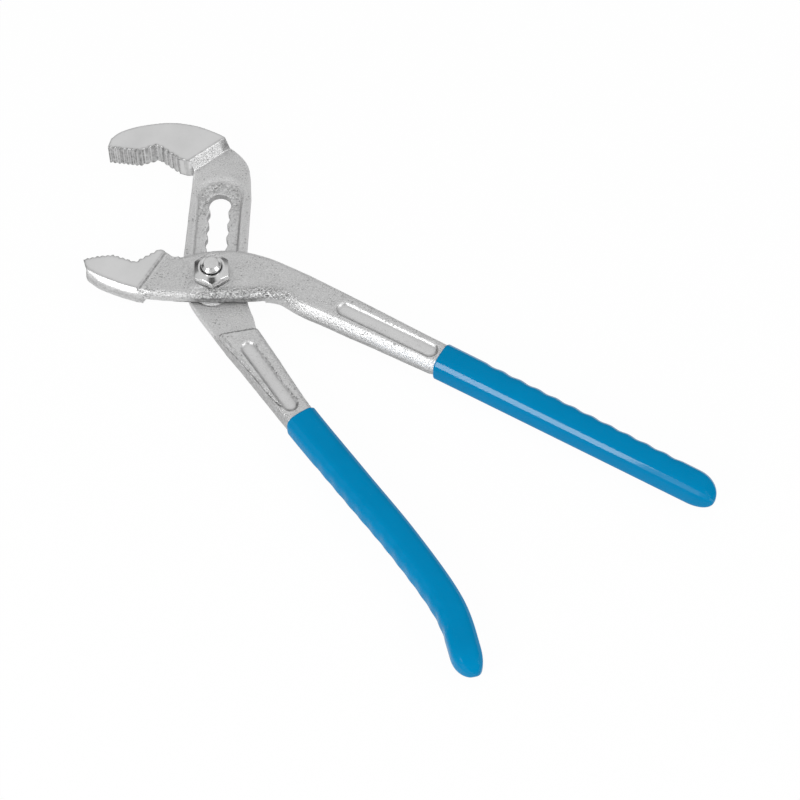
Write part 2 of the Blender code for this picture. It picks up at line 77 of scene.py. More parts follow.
# Soft boxes: name, direction from the tool, distance, width and height in metres, power in watts
SOFT_BOXES = [("tall_box", (-0.622, -0.638, 0.43), 0.9, (0.28, 0.56), 3.7),
              ("front_box", (-0.37, -0.90, 0.22), 0.9, (0.6, 0.4), 0.65),
              ("right_box", (0.80, -0.32, 0.50), 0.9, (0.35, 0.5), 2.2)]

# Floor: its half width, and how much of it is plain white to the camera and in what the metal mirrors
FLOOR_HALF = 3000.0
FLOOR_WHITE = 0.97
FLOOR_MIRRORED = 0.4

# Heights shared with the solids
Z_BACK = 1.2
Z_LAP = 6.05
Z_FRONT = 11.2

# Centre lines of the arms, and where each grip starts and ends along them
SLOTTED_LINE = [(12.8, -26.8), (21.4, -38.9), (36.3, -60.1), (56.6, -86.2), (75.0, -109.8),
                (91.1, -133.9), (97.6, -152.4), (99.7, -160.0)]
FRONT_LINE = [(33.4, -4.9), (52.6, -14.8), (71.4, -24.8), (86.3, -32.7), (129.2, -56.3), (184.5, -86.9)]
SLOTTED_GRIP = (41.0, 160.3)
FRONT_GRIP = (59.8, 172.1)

# Recessed panels of the arms: start and length along the line, width, and shift to the left of it
SLOTTED_PANEL = (3.2, 34.8, 5.9, -0.9)
FRONT_PANEL = (15.8, 42.0, 6.2, -0.6)
# Widths of the painted shade lines inside the panels' edges
PANEL_LINE_WIDTH = 0.2
RAGGED_LINE_WIDTH = 0.3

# Front lever's lower edge, left to right: ground chin of the jaw, trimmed middle, arm with a round side.
# Each arc is how far inside the edge its centre is, its height, its radius and its reach below the centre.
# A pair of places along X is where a ramp starts and where it ends.
EDGE_SAMPLE = (7.4, 9.0)
EDGE_SPAN = (-46.5, 88.0)
CHIN_START = (-48.2, -46.4)
CHIN_STOP = (-23.5, -27.5)
CHIN_ARC = (2.87, 7.1, 4.8, 5.9)
TIP_LEAN = 2.2
TIP_SPAN = (-41.0, -47.5)
ARM_FROM = (18.0, 34.0)
ARM_ARC = (5.65, 6.2, 6.5, 6.5)
ARM_SIDE_FROM = (28.0, 38.0)
LAP_ROLL = 1.0
LAP_GAP = 0.05
LAP_SPAN = (-10.0, 16.0)
SHOULDER_RADIUS = 4.5
SHOULDER_LIFT = 1.6
SHOULDER_RISE = (14.0, 16.0)
SHOULDER_FALL = (38.0, 19.0)
SHOULDER_FOOT_FROM = 15.0

# Trimmed flash along that edge, the painted shade under it and the painted shadow at the foot of the lap
FLASH_REACH = 2.6
FLASH_GROWTH = 3.0
FLASH_GROWS = (-8.0, 4.0)
FLASH_RISE = (-26.0, -22.0)
FLASH_FALL = (42.0, 20.0)
FLASH_HEIGHT = (8.0, 9.6)
FLASH_AT_JAW = 0.45
FLASH_FULL = (-12.0, 2.0)
SHADE_RISE = (-10.0, -4.0)
SHADE_FALL = (22.0, 15.0)
FOOT_RISE = (-14.0, -11.0)
FOOT_FALL = (21.0, 17.0)

# Groove that parts the front jaw from the forged body
JAW_GROOVE = [(-18.4, 8.6), (-26.4, -7.2)]
JAW_GROOVE_DEPTH = 0.32
JAW_GROOVE_WIDTH = 0.42

# Slotted lever: foot of the leaning step under its ground jaw, end of the teeth, top and far rim of the arm,
# and the crease that trimming left along the arm's left side
SLOTTED_STEP = [(-13.2, 49.0), (13.9, 73.4)]
STEP_RUN = 2.1
TEETH_END = -12.5
ARM_TOP = -24.0
SLOTTED_SHOULDER = [(-15.6, -31.3), (28.4, -20.8)]
CREASE = [(4.4, -27.1, 7.8), (6.8, -30.3, 8.4), (10.2, -34.5, 9.4), (13.5, -38.7, 9.8), (16.8, -42.7, 10.0),
          (20.1, -46.7, 10.1), (23.4, -51.0, 10.2), (26.6, -54.9, 10.6), (28.8, -56.8, 11.0)]
CREASE_DEPTH = 0.25
CREASE_WIDTH = 0.32

# Shallow track round the slot: ends of its middle line, half width, floor, reach of its blended edge,
# room for the washer that runs in it, and the crescent that stands below it
TRACK_ENDS = (-3.0, 39.0)
TRACK_HALF = 8.0
TRACK_FLOOR = 5.25
TRACK_BLEND = 8.8
TRACK_TOP_BLEND = 1.8
WASHER_ROOM = 7.45
CRESCENT_FROM = 9.0
CRESCENT_SLOPE = 0.36
CRESCENT_DROP = 0.08

# Forged surface: a depth goes with the size of its features
FRONT_SEED = 3
SLOTTED_SEED = 11
LEVER_VOXEL = 0.3
SOFTEN_ROUNDS = 3
CAVITY_ROUNDS = 8
CAVITY_DEPTH = 0.07
FORGE_WAVE = (0.06, 8.0)
FORGE_GRAIN = (0.03, 1.5)
FORGE_PIT = (0.12, 0.8)
FLASH_RIDGE = (0.17, 1.1)

# Grips
GRIP_HALF = 6.1
GRIP_TAPER = 0.7
GRIP_HALF_THICK = 6.0
GRIP_MIDDLE = 6.2
GRIP_SQUARE = 3.4
GRIP_FLAT = 1.592
GRIP_TIP = 9.4
GRIP_TIP_SWING = 1.7
GRIP_LIP = 0.7
GRIP_OVERLAP = 0.8
ARM_HALF = 5.0
ARM_HALF_THICK = 4.9
TANG_HALF = 4.5
TANG_HALF_THICK = 4.4
TANG_SHORT = 8.7
RIPPLE_PITCH = 7.4
UPPER_RIPPLE = 0.42
LOWER_RIPPLE = 0.3
UPPER_POLISH = 1.0
LOWER_POLISH = 0.35
RIPPLE_FROM = 15.6
RIPPLE_END = 13.0
POLISH_EDGE = 0.004
GRIP_STEP = 0.6
GRIP_SIDES = 96
TIP_RINGS = 18
TIP_BULGE = 0.92
LIP_RINGS = 8
HOLLOW_RINGS = 60

# Nut and bolt
NUT_ACROSS_FLATS = 12.7
NUT_LOW = 11.5
NUT_TOP = 16.0
NUT_TURN = math.radians(5.5)
NUT_FACE_RADIUS = 4.8
NUT_CROWN_SLOPE = 0.62
NUT_FOOT_SLOPE = 0.35
NUT_EDGE = 0.12
NUT_BORE_CHAMFER = 0.3
NUT_BORE = 3.8
BOLT_RADIUS = 3.75
BOLT_FLAT_RADIUS = 2.7
BOLT_TOP = 18.3
BOLT_THREAD = 1.25
BOLT_THREAD_DEPTH = 0.42
BOLT_CORE = 0.4
SHANK_RADIUS = 3.1
HEAD_RADIUS = 7.0
HEAD_TOP = 1.5
ROUND_STEPS = 192


def smooth_run(points, steps=12):
    """A smooth run of points through a short list, as an array."""
    knots = np.array(points, float)
    knots = np.vstack([2 * knots[0] - knots[1], knots, 2 * knots[-1] - knots[-2]])
    run = []
    for before, start, end, after in zip(knots, knots[1:], knots[2:], knots[3:]):
        t = np.arange(steps)[:, None] / steps
        square = 2 * before - 5 * start + 4 * end - after
        cube = 3 * start - before - 3 * end + after
        run.append(0.5 * (2 * start + (end - before) * t + square * t ** 2 + cube * t ** 3))
    return np.vstack([*run, knots[-2:-1]])


def ease(low, high, values):
    """A smooth ramp from 0 at low to 1 at high."""
    t = np.clip((values - low) / (high - low), 0, 1)
    return t * t * (3 - 2 * t)


class Track:
    """The nearest place on a flat path for each of many points."""

    def __init__(self, path, points):
        path = np.asarray(path, float)
        count = len(points)
        reach = np.concatenate([[0], np.cumsum(np.linalg.norm(np.diff(path, axis=0), axis=1))])
        tangent = np.gradient(path, axis=0)
        left = np.stack([-tangent[:, 1], tangent[:, 0]], axis=1)
        left /= np.linalg.norm(left, axis=1, keepdims=True)
        self.distance = np.full(count, np.inf)
        self.along = np.zeros(count)
        self.foot = np.zeros((count, 2))
        self.left = np.zeros((count, 2))
        for index, (start, end) in enumerate(zip(path, path[1:])):
            step = end - start
            share = np.clip((points - start) @ step / (step @ step), 0, 1)
            foot = start + share[:, None] * step
            distance = np.linalg.norm(points - foot, axis=1)
            closer = distance < self.distance
            self.distance[closer] = distance[closer]
            self.foot[closer] = foot[closer]
            self.along[closer] = reach[index] + share[closer] * (reach[index + 1] - reach[index])
            self.left[closer] = left[index] + share[closer, None] * (left[index + 1] - left[index])
        self.side = np.einsum("ij,ij->i", points - self.foot, self.left)


def line_distance(points, path):
    """Distance from each point to a path in space."""
    nearest = np.full(len(points), np.inf)
    for start, end in zip(path, path[1:]):
        step = end - start
        share = np.clip((points - start) @ step / (step @ step), 0, 1)
        nearest = np.minimum(nearest, np.linalg.norm(points - start - share[:, None] * step, axis=1))
    return nearest


def lattice_noise(points, size, seed):
    """Smooth noise from -1 to 1 with features of about the given size."""
    scaled = points / size + 31.7 * seed
    cell = np.floor(scaled).astype(np.int64)
    part = scaled - cell
    part = part * part * (3 - 2 * part)
    total = np.zeros(len(points))
    for corner in np.ndindex(2, 2, 2):
        key = cell + np.array(corner)
        code = key[:, 0] * 374761393 + key[:, 1] * 668265263 + key[:, 2] * 1442695041 + seed * 977
        code = ((code ^ (code >> 13)) * 1274126177) & 0x7FFFFFFF
        value = ((code ^ (code >> 16)) & 0xFFFF) / 32767.5 - 1
        weight = np.prod(np.where(np.array(corner), part, 1 - part), axis=1)
        total += weight * value
    return total


def new_mesh_object(name, vertices, faces):
    """A smooth-shaded object from points in millimetres."""
    mesh = bpy.data.meshes.new(name)
    mesh.from_pydata([tuple(point) for point in np.asarray(vertices) * MM], [], faces)
    mesh.validate()
    mesh.shade_smooth()
    obj = bpy.data.objects.new(name, mesh)
    bpy.context.scene.collection.objects.link(obj)
    return obj


def dense_copy(node, name):
    """A closed, evenly dense copy of a CAD solid."""
    shell = bmesh.new()
    shell.from_mesh(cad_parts[node].data)
    bmesh.ops.remove_doubles(shell, verts=shell.verts, dist=0.002 * MM)
    mesh = bpy.data.meshes.new(name)
    shell.to_mesh(mesh)
    shell.free()
    rough = bpy.data.objects.new(name + "_rough", mesh)
    bpy.context.scene.collection.objects.link(rough)
    remesh = rough.modifiers.new("dense", "REMESH")
    remesh.mode = "VOXEL"
    remesh.voxel_size = LEVER_VOXEL * MM
    bpy.context.view_layer.update()
    dense = bpy.data.meshes.new_from_object(rough.evaluated_get(bpy.context.evaluated_depsgraph_get()))
    bpy.data.objects.remove(rough, do_unlink=True)
    bpy.data.meshes.remove(mesh)
    dense.name = name
    dense.materials.clear()
    dense.shade_smooth()
    obj = bpy.data.objects.new(name, dense)
    bpy.context.scene.collection.objects.link(obj)
    return obj


class Skin:
    """The points of a dense mesh, in millimetres, while they are shaped."""

    def __init__(self, obj):
        self.mesh = obj.data
        count = len(self.mesh.vertices)
        flat = np.empty(3 * count)
        self.mesh.vertices.foreach_get("co", flat)
        self.points = flat.reshape(-1, 3) / MM
        ends = np.empty(2 * len(self.mesh.edges), np.int64)
        self.mesh.edges.foreach_get("vertices", ends)
        self.ends = ends.reshape(-1, 2)
        self.degree = np.bincount(self.ends.ravel(), minlength=count)
        corners = np.empty(len(self.mesh.loops), np.int64)
        self.mesh.loops.foreach_get("vertex_index", corners)
        self.faces = corners.reshape(-1, 4)

    def around(self, values):
        """Each point's mean of a value over its neighbours."""
        first, second = self.ends.T
        count = len(values)
        total = np.bincount(first, values[second], count) + np.bincount(second, values[first], count)
        return total / self.degree

    def softened(self, rounds, share):
        """The points moved towards their neighbours, each by its share."""
        points = self.points.copy()
        for _ in range(rounds):
            mean = np.stack([self.around(points[:, axis]) for axis in range(3)], axis=1)
            points += (mean - points) * np.asarray(share).reshape(-1, 1)
        return points

    def normals(self):
        """Each point's outward direction."""
        a, b, c, d = (self.points[self.faces[:, corner]] for corner in range(4))
        across = np.cross(c - a, d - b)
        total = np.stack([np.bincount(self.faces.ravel(), np.repeat(across[:, axis], 4), len(self.points))
                          for axis in range(3)], axis=1)
        return total / np.maximum(np.linalg.norm(total, axis=1, keepdims=True), 1e-12)

    def bends(self):
        """How hollow, and how proud, each point is against its surroundings: two shares."""
        lift = np.einsum("ij,ij->i", self.softened(CAVITY_ROUNDS, 0.6) - self.points, self.normals())
        return np.clip(lift / CAVITY_DEPTH, 0, 1), np.clip(-lift / CAVITY_DEPTH, 0, 1)

    def keep(self, **masks):
        """Writes the points back, and each mask as a value that materials read."""
        self.mesh.vertices.foreach_set("co", (self.points * MM).astype(np.float32).ravel())
        for name, values in masks.items():
            layer = self.mesh.attributes.new(name, "FLOAT", "POINT")
            layer.data.foreach_set("value", np.clip(values, 0, 1).astype(np.float32))
        self.mesh.update()


def lower_edge(skin):
    """The lever's lower outline, left to right, from the walls half-way up its front layer."""
    x, y, z = skin.points.T
    wall = (z > EDGE_SAMPLE[0]) & (z < EDGE_SAMPLE[1])
    places = np.arange(EDGE_SPAN[0], EDGE_SPAN[1] + 0.5)
    low = np.array([y[wall & (np.abs(x - place) < 0.5)].min() for place in places])
    kernel = np.array([1, 2, 3, 2, 1]) / 9
    low[2:-2] = np.convolve(low, kernel, "valid")
    return np.column_stack([places, low])


def roll_foot(skin, edge, radius, bottom, allowed):
    """Rolls the corner between a bottom and the wall along an edge, by pulling points onto an arc."""
    depth = skin.points[:, 2] - bottom
    inward = np.maximum(edge.side, 0)
    corner = allowed & (inward < radius) & (np.abs(depth) < radius) & (edge.distance < radius + 0.5)
    out = (radius - inward)[corner]
    rise = (radius - depth)[corner]
    pull = np.minimum(1, radius / np.maximum(np.hypot(out, rise), 1e-9))
    skin.points[corner, :2] += edge.left[corner] * (out * (1 - pull))[:, None]
    skin.points[corner, 2] += rise * (1 - pull)


def round_side(skin, edge, arc, share):
    """Rounds the whole side along an edge to one arc, which meets the top at a clear corner."""
    inward, middle, radius, reach = arc
    out = inward - edge.side
    rise = skin.points[:, 2] - middle
    squeeze = np.where(rise < 0, radius / reach, 1.0)
    length = np.hypot(out, rise * squeeze)
    corner = math.sqrt(radius ** 2 - (Z_FRONT - middle) ** 2)
    side = (out > corner) | ((rise < 0) & (out > 0) & (length > radius))
    side &= edge.distance < inward + 1.0
    shift = share[side] * (radius / length[side] - 1)
    skin.points[side, :2] -= edge.left[side] * (out[side] * shift)[:, None]
    skin.points[side, 2] += rise[side] * shift


def carve(skin, distance, depth, width, allowed):
    """Presses a narrow groove into the skin where the distance to a line is small."""
    cut = depth * np.exp(-(distance / width) ** 2) * allowed
    skin.points -= skin.normals() * cut[:, None]
    return cut / depth


def panel_edge(skin, line, panel):
    """Distance to the edge of an arm's recessed panel, with each point's place along and across it."""
    start, length, width, shift = panel
    place = Track(smooth_run(line), skin.points[:, :2])
    along = place.along - start - length / 2
    across = place.side - shift
    beyond = np.maximum(np.abs(along) - (length - width) / 2, 0)
    return np.hypot(beyond, across) - width / 2, along, across


def forge(skin, forged, flash, seed):
    """Gives the skin its forging waves, grain and pits, and a ragged ridge where flash was trimmed."""
    points = skin.points.copy()
    wave = FORGE_WAVE[0] * lattice_noise(points, FORGE_WAVE[1], seed)
    grain = FORGE_GRAIN[0] * lattice_noise(points, FORGE_GRAIN[1], seed + 1)
    spots = ease(0.45, 0.9, lattice_noise(points, FORGE_PIT[1], seed + 2))
    field = ease(0.0, 0.6, lattice_noise(points, 9.0, seed + 3))
    pits = spots * np.maximum(field * forged, flash)
    ridge = FLASH_RIDGE[0] * lattice_noise(points, FLASH_RIDGE[1], seed + 4)
    ridge += 0.6 * FLASH_RIDGE[0] * lattice_noise(points, 0.6 * FLASH_RIDGE[1], seed + 5)
    lift = forged * (wave + grain) - FORGE_PIT[0] * pits + flash * ridge
    lift += 0.006 * lattice_noise(points, 2.5, seed + 6)
    skin.points += skin.normals() * lift[:, None]
    return pits


def tooth_groove_shade(skin, facing, seed):
    """Uneven upright lines of painted shade, standing in for fine tooth grooves, on the walls that face one
    way along Y.
    """
    turned = skin.normals()
    wall = ease(0.6, 0.2, np.abs(turned[:, 2])) * ease(-0.3, 0.1, facing * turned[:, 1])
    return 0.4 * wall * ease(0.1, 0.6, lattice_noise(skin.points * (1, 1, 0.02), 0.55, seed))


def between(values, rise, fall):
    """A smooth 1 between two ramps, each given by where it starts and where it ends."""
    return ease(*rise, values) * ease(*fall, values)


def beyond_line(points, line):
    """How far each point is to the left of a straight line, seen from above."""
    start, end = (np.array(point) for point in line)
    along = (end - start) / np.linalg.norm(end - start)
    return (points[:, :2] - start) @ np.array([-along[1], along[0]])


def along_line(points, line):
    """Each point's share of the way along a straight line, seen from above."""
    start, end = (np.array(point) for point in line)
    return (points[:, :2] - start) @ (end - start) / ((end - start) @ (end - start))


def panel_rim(gap, width):
    """A thin line just inside a panel's edge, where a line of shade is painted."""
    return np.exp(-((gap + 0.1) / width) ** 2)


def bare_panel(gap, z):
    """The floor of a panel, which is smoother than the forging around it."""
    return ease(0.1, -0.7, gap) * ease(Z_FRONT - 2.0, Z_FRONT - 1.5, z)


def shape_lower_side(skin, edge, before_grip):
    """Shapes the front lever's lower side: chin, leaning tip, rolled lap, lifted shoulder and round arm."""
    x, _, z = skin.points.copy().T
    round_side(skin, edge, CHIN_ARC, between(x, CHIN_START, CHIN_STOP))
    skin.points[:, 0] += TIP_LEAN * ease(*TIP_SPAN, x) * (Z_FRONT - z) / (Z_FRONT - Z_BACK)
    roll_foot(skin, edge, SHOULDER_RADIUS, Z_BACK, before_grip & (x > SHOULDER_FOOT_FROM))
    roll_foot(skin, edge, LAP_ROLL, Z_LAP + LAP_GAP, (x > LAP_SPAN[0]) & (x < LAP_SPAN[1]))
    round_side(skin, edge, ARM_ARC, ease(*ARM_FROM, x) * before_grip)
    lifted = ease(9.0, 2.0, edge.distance) * between(x, SHOULDER_RISE, SHOULDER_FALL)
    skin.points[:, 2] += SHOULDER_LIFT * lifted * ease(6.2, 4.0, z)
    shaped = ease(6.0, 4.0, edge.distance) * before_grip * (skin.points[:, 2] < Z_FRONT - 0.2)
    skin.points = skin.softened(SOFTEN_ROUNDS, 0.5 * shaped)


def trimmed_flash(edge, x, z):
    """Where flash was trimmed off the front lever's lower edge: widest beside the pivot."""
    reach = FLASH_REACH + FLASH_GROWTH * ease(*FLASH_GROWS, x)
    flash = ease(reach, 0.8, edge.distance) * between(x, FLASH_RISE, FLASH_FALL) * ease(*FLASH_HEIGHT, z)
    return flash * (FLASH_AT_JAW + (1 - FLASH_AT_JAW) * ease(*FLASH_FULL, x))


def make_front_skin():
    """The front lever: shaped sides, groove behind its ground jaw, panel and flash, with painted shade and
    painted highlights.
    """
    obj = dense_copy("front_lever", "front_lever_forged")
    skin = Skin(obj)
    skin.points = skin.softened(SOFTEN_ROUNDS, 0.5)
    edge = Track(lower_edge(skin), skin.points[:, :2])
    x, _, z = skin.points.copy().T
    before_grip = x < EDGE_SPAN[1] - 1.0
    shape_lower_side(skin, edge, before_grip)

    beyond = -beyond_line(skin.points, JAW_GROOVE)
    jaw = ease(-0.3, 0.3, beyond)
    top = ease(Z_FRONT - 0.8, Z_FRONT - 0.3, skin.points[:, 2])
    # The groove is carved, and its mask is also painted as a line of shade along it.
    groove = carve(skin, np.abs(beyond), JAW_GROOVE_DEPTH, JAW_GROOVE_WIDTH, top)
    groove *= 0.35 + 0.65 * ease(-0.3, 0.4, lattice_noise(skin.points, 1.2, 41))
    # Painted highlight: a bright line just beside the groove.
    highlight_beside_groove = 0.7 * np.exp(-((beyond + 0.8) / 0.4) ** 2) * top

    gap, along, across = panel_edge(skin, FRONT_LINE, FRONT_PANEL)
    # Painted shade: a dark line inside the panel's edge on its shaded sides.
    shaded_rim = np.maximum(ease(0.5, -1.0, across), ease(17.0, 20.0, along))
    rim = 0.9 * panel_rim(gap, PANEL_LINE_WIDTH) * top * shaded_rim
    bare = bare_panel(gap, z)

    height = skin.points[:, 2].copy()
    arm_side = ease(4.5, 3.0, edge.distance) * ease(Z_FRONT - 0.1, Z_FRONT - 0.6, height)
    arm_side *= ease(*ARM_SIDE_FROM, x) * before_grip
    flash = np.maximum(trimmed_flash(edge, x, z), 0.22 * arm_side)
    # Painted shade on the wall under the flash.
    shade_under_flash = ease(2.2, 1.0, edge.distance) * ease(10.2, 8.4, z) * between(x, SHADE_RISE, SHADE_FALL)
    # Painted shadow along the foot of the lap.
    lap_foot_shadow = ease(2.6, 1.6, edge.distance) * ease(7.8, 6.9, z) * between(x, FOOT_RISE, FOOT_FALL)
    chin = between(x, CHIN_START, CHIN_STOP) * ease(5.0, 3.5, edge.distance)
    # Painted shade: darker towards the bottom of the arm's side and of the chin.
    low_side_shade = 0.5 * arm_side * ease(7.8, 6.0, height) + 0.3 * chin * ease(8.6, 7.0, height)

    pits = forge(skin, (1 - jaw) * (1 - 0.8 * bare), flash, FRONT_SEED)
    hollow, proud = skin.bends()
    # Painted shade in hollows, stronger on the jaw.
    hollow *= 0.3 + 0.5 * jaw
    # Painted shade: dark upright lines on the front jaw's tooth walls.
    marks = tooth_groove_shade(skin, 1, 51) * jaw * ease(6.0, 8.0, edge.distance)
    # Painted shade that dulls the highlights on the jaw's proud edges.
    dulled_jaw_edges = 0.5 * proud * jaw
    # All painted shade of the front lever, gathered in one mask.
    crevice = np.maximum.reduce([groove, rim, hollow, marks, dulled_jaw_edges, 0.8 * shade_under_flash, lap_foot_shadow, low_side_shade])
    # Painted highlight on the upper band of the arm's side.
    arm_side_highlight = 0.7 * arm_side * ease(7.0, 9.2, skin.points[:, 2])
    # Painted highlights of the front lever: beside the groove, on proud edges and on the arm's side.
    shine = np.maximum.reduce([highlight_beside_groove, 0.25 * proud * (1 - jaw), arm_side_highlight])
    skin.keep(ground=np.maximum(jaw, 0.7 * bare), pits=pits, crevice=crevice, flash=flash, shine=shine)
    return obj


def shape_track(skin, x, y, from_slot, in_lap):
    """Blends the edge of the track round the slot, and leaves a crescent standing below it: a mask for a
    painted highlight.
    """
    reach = TRACK_BLEND + TRACK_TOP_BLEND * ease(36.0, 45.0, y)
    rise = ease(0, 1, (from_slot - WASHER_ROOM) / (reach - WASHER_ROOM))
    blended = in_lap & (from_slot > WASHER_ROOM) & (from_slot < reach) & (y > TRACK_ENDS[0])
    skin.points[blended, 2] = (TRACK_FLOOR + (Z_LAP - TRACK_FLOOR) * rise)[blended]
    from_pivot = np.hypot(x, y)
    crescent = in_lap & (y < TRACK_ENDS[0]) & (from_slot < TRACK_HALF)
    crescent = crescent * ease(WASHER_ROOM, WASHER_ROOM + 0.3, from_pivot)
    slope = Z_LAP - CRESCENT_DROP - CRESCENT_SLOPE * np.maximum(from_pivot - CRESCENT_FROM, 0)
    skin.points[:, 2] = np.maximum(skin.points[:, 2], crescent * slope)
    return crescent


def make_slotted_skin():
    """The slotted lever: ground jaw over a leaning step, crease, panel, rim of the arm and worn track, with
    painted shade and painted highlights.
    """
    obj = dense_copy("slotted_lever", "slotted_lever_forged")
    skin = Skin(obj)
    skin.points = skin.softened(SOFTEN_ROUNDS, 0.5)
    x, y, z = skin.points.copy().T

    beyond = beyond_line(skin.points, SLOTTED_STEP)
    past_neck = ease(46.0, 48.0, y)
    jaw = ease(STEP_RUN - 0.3, STEP_RUN + 0.3, beyond) * past_neck
    # Painted highlight on the facet, and painted shade on its far end.
    facet = ease(-0.3, 0.1, beyond) * ease(STEP_RUN + 0.4, STEP_RUN, beyond) * past_neck
    facet *= ease(Z_LAP - 0.2, Z_LAP + 0.2, z)
    far_end = ease(0.45, 0.50, along_line(skin.points, SLOTTED_STEP))

    from_crease = line_distance(skin.points, smooth_run(CREASE, 4))
    # The crease is carved, and its mask is also painted as a line of shade along it.
    crease = 1.5 * carve(skin, from_crease, CREASE_DEPTH, CREASE_WIDTH, 1.0)
    turned = skin.normals()
    # Painted shade on the arm's left wall.
    left_side_shade = ease(0.15, 0.4, -turned[:, 0]) * (y < ARM_TOP)

    top = ease(Z_FRONT - 2.2, Z_FRONT - 1.6, z)
    gap, along, across = panel_edge(skin, SLOTTED_LINE, SLOTTED_PANEL)
    # Painted shade: thin dark lines inside the panel's edges, the right one ragged.
    left_rim = np.maximum(ease(1.0, -0.5, across), ease(14.0, 16.0, along)) * ease(-17.0, -13.0, along)
    left_rim *= 0.9 * panel_rim(gap, PANEL_LINE_WIDTH) * top
    right_rim = panel_rim(gap, RAGGED_LINE_WIDTH) * top * ease(0.5, 1.5, across) * ease(-16.0, -13.0, along)
    right_rim *= ease(-0.4, 0.3, lattice_noise(skin.points, 0.6, 43))
    bare = bare_panel(gap, z)
    behind = -beyond_line(skin.points, SLOTTED_SHOULDER)
    # Painted shadow: a dark line along the far rim of the arm.
    shoulder = ease(0.65, 0.25, np.abs(behind - 0.2)) * top * (x < 35)

    from_slot = np.hypot(x, y - np.clip(y, *TRACK_ENDS))
    in_lap = (z > TRACK_FLOOR - 0.3) & (z < Z_LAP + 0.15)
    # The crescent's mask is painted as a highlight.
    crescent = shape_track(skin, x, y, from_slot, in_lap)
    worn = ease(TRACK_HALF, TRACK_HALF - 0.8, from_slot) * in_lap * ease(28.0, 36.0, y)
    # Painted shade: a faint dark line along the track's edge.
    track_edge_shade = 0.25 * np.exp(-((from_slot - TRACK_HALF) / 0.3) ** 2) * in_lap * (y > 0)
    # Painted shade on the slot's walls.
    slot_wall_shade = 0.45 * ease(0.6, 0.3, np.abs(turned[:, 2])) * ease(6.5, 5.8, from_slot)

    pits = forge(skin, (1 - jaw) * (1 - 0.8 * bare), 0.5 * worn, SLOTTED_SEED) * (1 + 1.5 * worn)
    hollow, proud = skin.bends()
    # Painted shade in hollows, less near the step's foot.
    hollow *= (0.3 + 0.5 * ease(47.0, 49.0, y)) * (1 - 0.75 * ease(1.6, 0.6, np.abs(beyond)))
    # Painted shade: dark upright lines on the slotted jaw's tooth walls.
    marks = tooth_groove_shade(skin, -1, 52) * jaw * ease(TEETH_END, TEETH_END - 2, x)
    # Painted shade that dulls the highlights on the jaw's proud edges.
    dulled_jaw_edges = proud * jaw * (0.3 + 0.55 * ease(0.0, -0.4, turned[:, 1]))
    on_arm = [crease, 0.45 * left_side_shade, left_rim, right_rim, shoulder]
    on_jaw = [0.7 * facet * far_end, marks, dulled_jaw_edges]
    # All painted shade of the slotted lever, gathered in one mask.
    crevice = np.maximum.reduce([*on_arm, *on_jaw, hollow, track_edge_shade, slot_wall_shade])
    # Painted highlights of the slotted lever: on the facet, on proud edges and on the crescent.
    shine = np.maximum.reduce([facet * (1 - far_end), 0.25 * proud * (1 - jaw), crescent])
    skin.keep(ground=np.maximum(jaw, 0.7 * bare), pits=pits, crevice=crevice, shine=shine, flash=0.5 * worn)
    return obj


def loft(name, rings):
    """A closed skin through rings of points, brought to a point at both ends."""
    count = len(rings[0])
    vertices = [rings[0].mean(axis=0), *np.vstack(rings), rings[-1].mean(axis=0)]
    faces = []
    for side in range(count):
        following = (side + 1) % count
        faces.append((0, 1 + following, 1 + side))
        for ring in range(len(rings) - 1):
            low, high = 1 + ring * count, 1 + (ring + 1) * count
            faces.append((low + side, low + following, high + following, high + side))
        last = 1 + (len(rings) - 1) * count
        faces.append((last + side, last + following, len(vertices) - 1))
    return new_mesh_object(name, vertices, faces)


